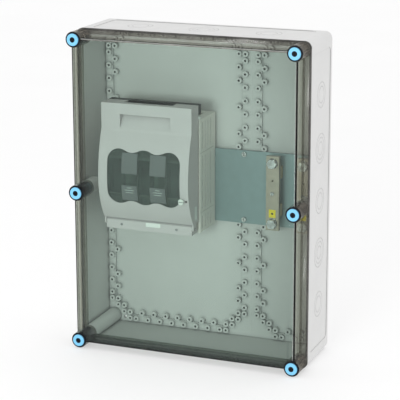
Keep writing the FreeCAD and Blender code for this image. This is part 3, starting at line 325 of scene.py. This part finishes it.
def clean_copy(node):
    """The node's mesh with its facets joined into whole faces."""
    model = bmesh.new()
    model.from_mesh(NODES[node].data)
    bmesh.ops.remove_doubles(model, verts=model.verts, dist=1e-6)
    bmesh.ops.dissolve_limit(model, angle_limit=math.radians(0.5), verts=model.verts, edges=model.edges)
    return model


def round_off(model, width, segments=2, angle=35):
    """Rounds every edge sharper than angle."""
    sharp = [edge for edge in model.edges
             if edge.is_manifold and edge.calc_face_angle() > math.radians(angle)]
    bmesh.ops.bevel(model, geom=sharp, offset=width, segments=segments, profile=0.6,
                    affect="EDGES", clamp_overlap=True)


def finished(model, name):
    """A smooth-shaded mesh that keeps its sharp corners."""
    mesh = bpy.data.meshes.new(name)
    for face in model.faces:
        face.smooth = True
    model.to_mesh(mesh)
    model.free()
    mesh.set_sharp_from_angle(angle=math.radians(38))
    return mesh


def even_shading(piece):
    """Keeps broad faces flat beside their rounded edges."""
    piece.modifiers.new("shading", "WEIGHTED_NORMAL").keep_sharp = True


def refined(node, width=0.4 * MM, segments=2, material=None):
    """Stands a rounded copy of a CAD node in its place."""
    model = clean_copy(node)
    round_off(model, width, segments)
    mesh = finished(model, f"{node}_fine")
    piece = link(mesh.name, mesh, BODY_OF[node])
    piece.data.materials.append(material or MATERIAL[SLOT_OF[node]])
    even_shading(piece)
    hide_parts(node)
    return piece


def kept(node, material=None):
    """A CAD node that stays as it is, in its finish."""
    mesh = NODES[node].data
    mesh.materials.clear()
    mesh.materials.append(material or MATERIAL[SLOT_OF[node]])


def applied(piece):
    """Makes the piece's modifiers part of its mesh."""
    seen = piece.evaluated_get(bpy.context.evaluated_depsgraph_get())
    mesh = bpy.data.meshes.new_from_object(seen)
    piece.modifiers.clear()
    piece.data = mesh


def plain_object(name, model):
    """An object that isn't a piece: a tool to cut with, or the floor."""
    mesh = bpy.data.meshes.new(name)
    model.to_mesh(mesh)
    model.free()
    made = bpy.data.objects.new(name, mesh)
    bpy.context.scene.collection.objects.link(made)
    return made


def carve(piece, tool):
    """Cuts a tool out of a piece and removes the tool."""
    cut = piece.modifiers.new("cut", "BOOLEAN")
    cut.operation = "DIFFERENCE"
    cut.solver = "EXACT"
    cut.object = tool
    applied(piece)
    bpy.data.objects.remove(tool)


def add_box(model, low, high):
    size = Vector(high) - Vector(low)
    middle = (Vector(high) + Vector(low)) / 2
    place = Matrix.Translation(middle) @ Matrix.Diagonal((*size, 1))
    return bmesh.ops.create_cube(model, size=1, matrix=place)["verts"]


def round_along(model, verts, axis, width, segments):
    """Rounds the edges of a box that run along an axis."""
    edges = {edge for vert in verts for edge in vert.link_edges
             if abs((edge.verts[0].co - edge.verts[1].co).normalized().dot(axis)) > 0.9}
    bmesh.ops.bevel(model, geom=list(edges), offset=width, segments=segments, profile=0.5, affect="EDGES")


def add_ring(model, centre, normal, major, minor, steps=56, sides=8):
    """Torus round a centre, in the plane across normal."""
    turn = Vector(normal).to_track_quat("Z", "Y").to_matrix().to_4x4()
    turn.translation = Vector(centre)
    rings = []
    for step in range(steps):
        angle = 2 * math.pi * step / steps
        out = Vector((math.cos(angle), math.sin(angle), 0))
        ring = []
        for side in range(sides):
            tilt = 2 * math.pi * side / sides
            reach = out * (major + minor * math.cos(tilt)) + Vector((0, 0, minor * math.sin(tilt)))
            ring.append(model.verts.new(turn @ reach))
        rings.append(ring)
    for step in range(steps):
        first, second = rings[step], rings[(step + 1) % steps]
        for side in range(sides):
            after = (side + 1) % sides
            model.faces.new((first[side], second[side], second[after], first[after]))


# ---------------------------------------------------------------- enclosure base
SIDE_ROWS = (-195, -97, 0, 97, 195)
END_ROWS = (-125, 0, 125)
# Each wall: the way it faces, the way it runs, its distance, half its length and its knock-outs.
WALLS = [
    (Vector((1, 0, 0)), Vector((0, 0, 1)), BOX_HALF_WIDE, BOX_HALF_HIGH, SIDE_ROWS),
    (Vector((-1, 0, 0)), Vector((0, 0, 1)), BOX_HALF_WIDE, BOX_HALF_HIGH, SIDE_ROWS),
    (Vector((0, 0, 1)), Vector((1, 0, 0)), BOX_HALF_HIGH, BOX_HALF_WIDE, END_ROWS),
    (Vector((0, 0, -1)), Vector((1, 0, 0)), BOX_HALF_HIGH, BOX_HALF_WIDE, END_ROWS),
]
RECESS, CLEAR_OF_WALL = 0.8 * MM, 2 * MM
PANEL_BORDER, PANEL_BACK, PANEL_FRONT = 26, 12, 113
PANEL_CORNER = 9 * MM
KNOCKOUT_DEPTH, GROOVE = 62 * MM, 0.75 * MM
LARGE_KNOCKOUT, SMALL_KNOCKOUT = (27, 20, 12), (23, 15)
BACK_PANEL_WIDE, BACK_PANEL_HIGH = 120, 165
BACK_COLUMNS, BACK_ROWS = (-195, -60, 75), (-262, -82, 98)
BACK_CORNER = 12 * MM
BACK_RING, BACK_RING_ROWS = 34 * MM, (-200, 0, 200)
TRAY_INSIDE, TRAY_FLOOR_DEPTH = 280, 20


def add_wall_tools(panels, knockouts, out, along, reach, half, places):
    """The recess and the knock-out rings of one wall."""
    border = (half - PANEL_BORDER) * MM
    low = out * (reach * MM - RECESS) - along * border + Vector((0, -PANEL_FRONT * MM, 0))
    high = out * (reach * MM + CLEAR_OF_WALL) + along * border + Vector((0, -PANEL_BACK * MM, 0))
    verts = add_box(panels, Vector(map(min, low, high)), Vector(map(max, low, high)))
    round_along(panels, verts, out, PANEL_CORNER, 5)
    for number, place in enumerate(places):
        centre = out * (reach * MM - RECESS) + along * place * MM + Vector((0, -KNOCKOUT_DEPTH, 0))
        for radius in LARGE_KNOCKOUT if number % 2 else SMALL_KNOCKOUT:
            add_ring(knockouts, centre, out, radius * MM, GROOVE)


def add_back_tools(panels, knockouts):
    """The recesses and rings of the back."""
    across = Vector((0, 1, 0))
    for x in BACK_COLUMNS:
        for z in BACK_ROWS:
            low = (x * MM, -RECESS, z * MM)
            high = ((x + BACK_PANEL_WIDE) * MM, CLEAR_OF_WALL, (z + BACK_PANEL_HIGH) * MM)
            round_along(panels, add_box(panels, low, high), across, BACK_CORNER, 6)
    for z in BACK_RING_ROWS:
        add_ring(knockouts, Vector((0, -RECESS, z * MM)), across, BACK_RING, GROOVE)


def make_base():
    """The tray, with recessed panels and knock-outs on its four sides and its back."""
    mesh = finished(clean_copy("enclosure_base"), "enclosure_base_fine")
    piece = link(mesh.name, mesh, "enclosure")
    finishes = [MATERIAL["enclosure_grey"], TRAY_FLOOR, PAINTED_SHADE_TRAY_WALL]
    panels = bmesh.new()
    knockouts = bmesh.new()
    for wall in WALLS:
        add_wall_tools(panels, knockouts, *wall)
    add_back_tools(panels, knockouts)
    piece.data.materials.append(finishes[0])
    carve(piece, plain_object("panels", panels))
    carve(piece, plain_object("knockouts", knockouts))
    for finish in finishes[1:]:
        piece.data.materials.append(finish)
    for face in piece.data.polygons:
        face.use_smooth = True
        # Painted shade: the tray's back takes the finish that darkens towards the right, and the inner
        # face of the bottom wall a darker copy of the grey.
        if face.normal.y < -0.9 and face.center.y > -TRAY_FLOOR_DEPTH * MM:
            face.material_index = finishes.index(TRAY_FLOOR)
        elif face.normal.z > 0.9 and face.center.z < -TRAY_INSIDE * MM:
            face.material_index = finishes.index(PAINTED_SHADE_TRAY_WALL)
    piece.data.set_sharp_from_angle(angle=math.radians(30))
    even_shading(piece)
    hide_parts("enclosure_base")


# ---------------------------------------------------------------- lid
def lid_edge(normal):
    """The finish of a face on the rounding round the hood's front: a painted highlight, a painted dark
    line or a painted dark brown line, by the way the face points.
    """
    if normal.z > 0.85:
        return "edge_painted_dark"
    if normal.z > 0.4:
        return "edge_painted_highlight"
    if normal.z > 0.1:
        return "edge_painted_brown"
    return "edge_painted_highlight" if normal.x > 0.1 and -normal.y > 0.93 else "edge_painted_dark"


def lid_part(centre, normal):
    """Which of the lid's finishes a face takes, from where it lies."""
    x, depth, z = (value / MM for value in (centre.x, -centre.y, centre.z))
    inside_hood = abs(x) < HOOD_HALF_WIDE + CLOSE and abs(z) < HOOD_HALF_HIGH + CLOSE
    from_column = min(math.hypot(abs(x) - COLUMN_X, z - row) for row in COLUMN_ROWS)
    on_column = from_column < COLUMN_RADIUS + 2 * CLOSE
    if depth > HOOD_FRONT - CLOSE or abs(depth - (HOOD_FRONT - HOOD_WALL)) < CLOSE:
        return "face"
    if depth > HOOD_FRONT - HOOD_ROUNDING - CLOSE and not on_column:
        return lid_edge(normal)
    if on_column and abs(normal.y) < 0.5:
        if x < 0 and z < BARREL_SHOWS_BELOW:
            return "barrel"
        return "inner" if inside_hood else "column"
    if depth < FLANGE_FRONT + FLANGE_ROOM:
        return "flange"
    if abs(normal.z) > 0.7:
        return "top" if z > 0 else "bottom"
    return "side" if x > 0 else "left_side"


def make_lid():
    """The clear hood, with a finish for each stretch of its walls, which paints light and shade on them.
    """
    mesh = finished(clean_copy("lid_hood"), "lid_hood_fine")
    names = list(LID)
    for finish in LID.values():
        mesh.materials.append(finish)
    for face in mesh.polygons:
        face.material_index = names.index(lid_part(face.center, face.normal))
    piece = link(mesh.name, mesh, "lid")
    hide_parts("lid_hood")


# ---------------------------------------------------------------- marks and ribs
TICKS, TICK_TURN, FIRST_TICK = 9, 15.5, -62
TICK_DEPTH, TICK_HALF_WIDE = 146 * MM, 0.5 * MM
TICK_FOOT, TICK_TOP = 11.8 * MM, 12.05 * MM
LONG_TICK, SHORT_TICK = 3.2 * MM, 2.0 * MM


def make_ticks(name):
    """Plain scale marks round a lock's barrel."""
    low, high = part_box(f"lock_head_{name}")
    centre = (low + high) / 2
    model = bmesh.new()
    for step in range(TICKS):
        angle = math.radians(FIRST_TICK + TICK_TURN * step)
        turn = Matrix.Translation((centre.x, -TICK_DEPTH, centre.z)) @ Matrix.Rotation(angle, 4, "Y")
        half = LONG_TICK if step % 4 == 0 else SHORT_TICK
        verts = add_box(model, (TICK_FOOT, -half, -TICK_HALF_WIDE), (TICK_TOP, half, TICK_HALF_WIDE))
        bmesh.ops.transform(model, matrix=turn, verts=verts)
    mesh = finished(model, f"lock_ticks_{name}")
    piece = link(mesh.name, mesh, f"lock_{name}")
    piece.data.materials.append(MATERIAL["marker_white"])


RIB_DEPTHS, RIB_GROOVE_WIDE, RIB_GROOVE_DEEP = (38, 52, 66, 80), 2, 1.1 * MM
# The lowest and the highest z of the grooves in each terminal cover.
TERMINAL_COVERS = {"terminal_cover_top": (82, 132), "terminal_cover_bottom": (-69, -44)}


def make_terminal_cover(node, low, high, material):
    """A terminal cover with the ribs of the switch base carried on along its sides."""
    piece = refined(node, 0.5 * MM, material=material)
    applied(piece)
    grooves = bmesh.new()
    for depth in RIB_DEPTHS:
        for side in SWITCH_SIDES:
            add_box(grooves,
                    (side * MM - RIB_GROOVE_DEEP, -(depth + RIB_GROOVE_WIDE) * MM, low * MM),
                    (side * MM + RIB_GROOVE_DEEP, -depth * MM, high * MM))
    carve(piece, plain_object(f"{node}_grooves", grooves))
    even_shading(piece)


BAR_HALF_WIDTHS, TOP_BAR, BAR_STEP, BAR_OFF_MIDDLE = (4.5, 9, 7.5), 12, 4.5, 28
BAR_RELIEF, BAR_HALF_HIGH = 0.06 * MM, 0.55 * MM
IN_FRONT = -0.3


def make_plate_marks():
    """Plain light bars on the lower plates of the switch window, in place of a printed label."""
    model = bmesh.new()
    low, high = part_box("window_plates")
    middle = (low.x + high.x) / 2
    for side in (-1, 1):
        for step, half in enumerate(BAR_HALF_WIDTHS):
            x = middle + side * BAR_OFF_MIDDLE * MM
            z = (TOP_BAR - BAR_STEP * step) * MM
            start = Vector((x, IN_FRONT, z))
            hit, place = NODES["window_plates"].ray_cast(start, Vector((0, 1, 0)))[:2]
            if hit:
                reach = Vector((half * MM, BAR_RELIEF, BAR_HALF_HIGH))
                add_box(model, place - reach, place + reach)
    mesh = finished(model, "window_plate_marks")
    piece = link(mesh.name, mesh, "cover")
    piece.data.materials.append(MATERIAL["label_grey"])


DOT_RADIUS, DOT_THICK = 2.1 * MM, 0.1 * MM


def make_marker_dot(name):
    """Dark disc that stands in for the print on a bar's marker."""
    low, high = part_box(f"{name}_marker")
    model = bmesh.new()
    across = Matrix.Translation(((low.x + high.x) / 2, low.y, (low.z + high.z) / 2))
    bmesh.ops.create_cone(model, cap_ends=True, segments=32, radius1=DOT_RADIUS, radius2=DOT_RADIUS,
                          depth=DOT_THICK, matrix=across @ Matrix.Rotation(math.radians(90), 4, "X"))
    mesh = finished(model, f"{name}_marker_dot")
    piece = link(mesh.name, mesh, "enclosure")
    piece.data.materials.append(MATERIAL["carrier_black"])


# ---------------------------------------------------------------- assembly
def rounded_nodes():
    """The width of the rounded edges, in millimetres, of each node that is copied as it is."""
    widths = {
        "mounting_plate": 0.3, "plate_screws": 0.5, "switch_base": 0.4, "switch_mount_screws": 0.4,
        "terminal_cover_screws": 0.6, "hinge_block": 0.5, "hinge_pins": 0.3,
        "hinge_block_screws": 0.25, "marking_strip": 0.12, "contact_jaws": 0.3, "jaw_springs": 0.2,
        "terminal_bolts": 0.5, "switch_cover": 0.9, "cover_window": 0.3, "window_plates": 0.15,
        "fuse_carriers": 0.4, "cover_lock_knob": 0.6, "cover_liner": 0.4, "vent_inserts": 0.3,
    }
    for side in BARS:
        widths |= {f"{side}_bar": 0.5, f"{side}_supports": 0.5, f"{side}_bolts": 0.7,
                   f"{side}_washers": 0.3, f"{side}_clamp_screw": 0.5, f"{side}_marker": 0.12}
    for number in (1, 2, 3):
        widths |= {f"fuse_{number}_body": 1.0, f"fuse_{number}_contacts": 0.4}
    return widths


# Finishes that differ from the one of the node's slot.
SPECIAL = {
    "switch_base": SWITCH_SIDE,
    "terminal_cover_screws": metal("bright_zinc", (0.95, 0.96, 0.95), 0.3, metallic=0.8),
    "vent_inserts": metal("gloss_white", (0.97, 0.98, 0.96), 0.3, stain=0.96, metallic=0.7),
}
make_base()
make_lid()
for name in LOCKS:
    refined(f"lock_body_{name}", 0.35 * MM)
    refined(f"lock_head_{name}", 0.3 * MM, 3)
    make_ticks(name)
for node in ("boss_frame_left", "boss_frame_right"):
    kept(node, TRAY_FLOOR)
kept("lid_seal")
for name in BARS:
    make_marker_dot(name)
for node, (rib_low, rib_high) in TERMINAL_COVERS.items():
    make_terminal_cover(node, rib_low, rib_high, SWITCH_SIDE)
make_plate_marks()
for node, width in rounded_nodes().items():
    refined(node, width * MM, material=SPECIAL.get(node))


# ---------------------------------------------------------------- stage
FLOOR_HALF, FLOOR_DROP = 9, 0.5 * MM
FLOOR_GLOW = 0.5
KEY_PLACE, KEY_SIZE, KEY_WATTS = (0.05, -2.7, 0.42), (0.8, 0.6), 34
CAMERA_PLACE, CAMERA_LENS, CAMERA_SHIFT = (1.0735, -2.788, 0.7572), 147.04, -0.1
CAMERA_AZIMUTH, CAMERA_ELEVATION, CAMERA_ROLL = (math.radians(angle) for angle in (21.637, 13.452, -0.134))


def make_floor():
    """A pale floor that glows a little, which keeps the shadow on it faint."""
    model = bmesh.new()
    bmesh.ops.create_grid(model, x_segments=1, y_segments=1, size=FLOOR_HALF)
    floor = plain_object("floor", model)
    floor.location.z = cad_low.z - FLOOR_DROP
    g = Graph("floor")
    tone = g.mix(g.noise(0.4, 3), (0.93, 0.93, 0.93), (0.96, 0.96, 0.96))
    floor.data.materials.append(g.surface(g.node("BsdfPrincipled", {
        "Base Color": g.mix(FLOOR_GLOW, tone, (0, 0, 0)), "Roughness": 0.9, "Emission Color": tone,
        "Emission Strength": FLOOR_GLOW,
    })))


def make_world():
    world = bpy.data.worlds.new("studio")
    world.use_nodes = True
    background = world.node_tree.nodes["Background"]
    background.inputs["Color"].default_value = (1, 1, 1, 1)
    background.inputs["Strength"].default_value = 1.0
    bpy.context.scene.world = world


def make_key_light():
    """A soft light in front, aimed at the origin."""
    light = bpy.data.lights.new("key", "AREA")
    light.shape = "RECTANGLE"
    light.size, light.size_y = KEY_SIZE
    light.energy = KEY_WATTS
    lamp = bpy.data.objects.new("key", light)
    lamp.location = KEY_PLACE
    lamp.rotation_euler = Vector(KEY_PLACE).to_track_quat("Z", "Y").to_euler()
    bpy.context.scene.collection.objects.link(lamp)


def make_camera():
    scene = bpy.context.scene
    lens = bpy.data.cameras.new("camera")
    lens.lens = CAMERA_LENS
    lens.shift_y = CAMERA_SHIFT
    camera = bpy.data.objects.new("camera", lens)
    level = math.cos(CAMERA_ELEVATION)
    back = Vector((math.sin(CAMERA_AZIMUTH) * level, -math.cos(CAMERA_AZIMUTH) * level,
                   math.sin(CAMERA_ELEVATION)))
    camera.location = CAMERA_PLACE
    camera.rotation_euler = (back.to_track_quat("Z", "Y").to_matrix()
                             @ Matrix.Rotation(CAMERA_ROLL, 3, "Z")).to_euler()
    scene.collection.objects.link(camera)
    scene.camera = camera


make_floor()
make_world()
make_key_light()
make_camera()
bpy.context.scene.view_settings.view_transform = "Standard"
bpy.context.view_layer.update()
